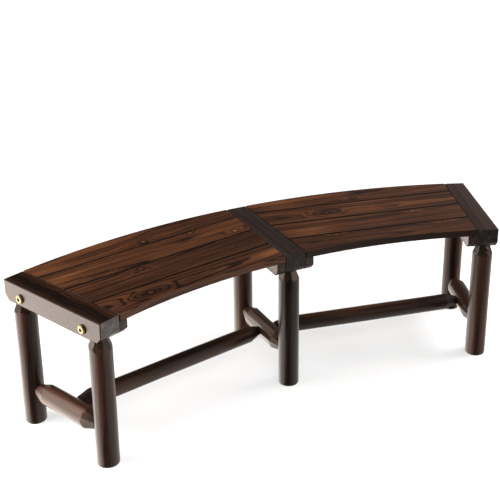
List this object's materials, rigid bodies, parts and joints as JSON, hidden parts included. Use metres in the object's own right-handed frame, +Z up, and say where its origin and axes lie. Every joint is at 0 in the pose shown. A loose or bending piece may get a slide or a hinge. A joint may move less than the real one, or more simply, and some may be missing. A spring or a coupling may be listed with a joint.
{
  "type": "garden bench",
  "caption": "Curved backless wooden garden bench on round log legs with log stretchers and a straight-boarded, arc-edged seat.",
  "frame": {"origin": "on the floor, at the bottom centre of the bench's box", "axes": "+X along the bench to a sitter's left, +Y towards its outer, convex edge, +Z up; the concave edge faces -Y"},
  "size_m": [1.5098, 0.5104, 0.43],
  "materials": {
    "stained_boards": "dark brown stained softwood under satin varnish",
    "stained_beams": "dark brown stained softwood under satin varnish",
    "stained_logs": "dark brown stained round poles under satin varnish",
    "brass_bolts": "polished brass-coloured plating",
    "zinc_plated_steel": "bright zinc plating"
  },
  "bodies": {
    "root": {"end_beam_left": "stained_beams", "middle_beam": "stained_beams", "end_beam_right": "stained_beams", "leg_left_front": "stained_logs", "leg_left_back": "stained_logs", "leg_middle_front": "stained_logs", "leg_middle_back": "stained_logs", "leg_right_front": "stained_logs", "leg_right_back": "stained_logs", "rung_left": "stained_logs", "rung_middle": "stained_logs", "rung_right": "stained_logs", "stretcher_left": "stained_logs", "stretcher_right": "stained_logs", "board_left_front": "stained_boards", "board_left_inner_front": "stained_boards", "board_left_inner_back": "stained_boards", "board_left_back": "stained_boards", "board_right_front": "stained_boards", "board_right_inner_front": "stained_boards", "board_right_inner_back": "stained_boards", "board_right_back": "stained_boards", "cleat_left_outer": "stained_beams", "cleat_left_inner": "stained_beams", "cleat_right_outer": "stained_beams", "cleat_right_inner": "stained_beams", "bolt_left_front": "brass_bolts", "washer_left_front": "zinc_plated_steel", "nut_left_front": "zinc_plated_steel", "bolt_left_back": "brass_bolts", "washer_left_back": "zinc_plated_steel", "nut_left_back": "zinc_plated_steel", "bolt_middle_front": "brass_bolts", "washer_middle_front": "zinc_plated_steel", "nut_middle_front": "zinc_plated_steel", "bolt_middle_back": "brass_bolts", "washer_middle_back": "zinc_plated_steel", "nut_middle_back": "zinc_plated_steel", "bolt_right_front": "brass_bolts", "washer_right_front": "zinc_plated_steel", "nut_right_front": "zinc_plated_steel", "bolt_right_back": "brass_bolts", "washer_right_back": "zinc_plated_steel", "nut_right_back": "zinc_plated_steel"}
  },
  "joints": []
}
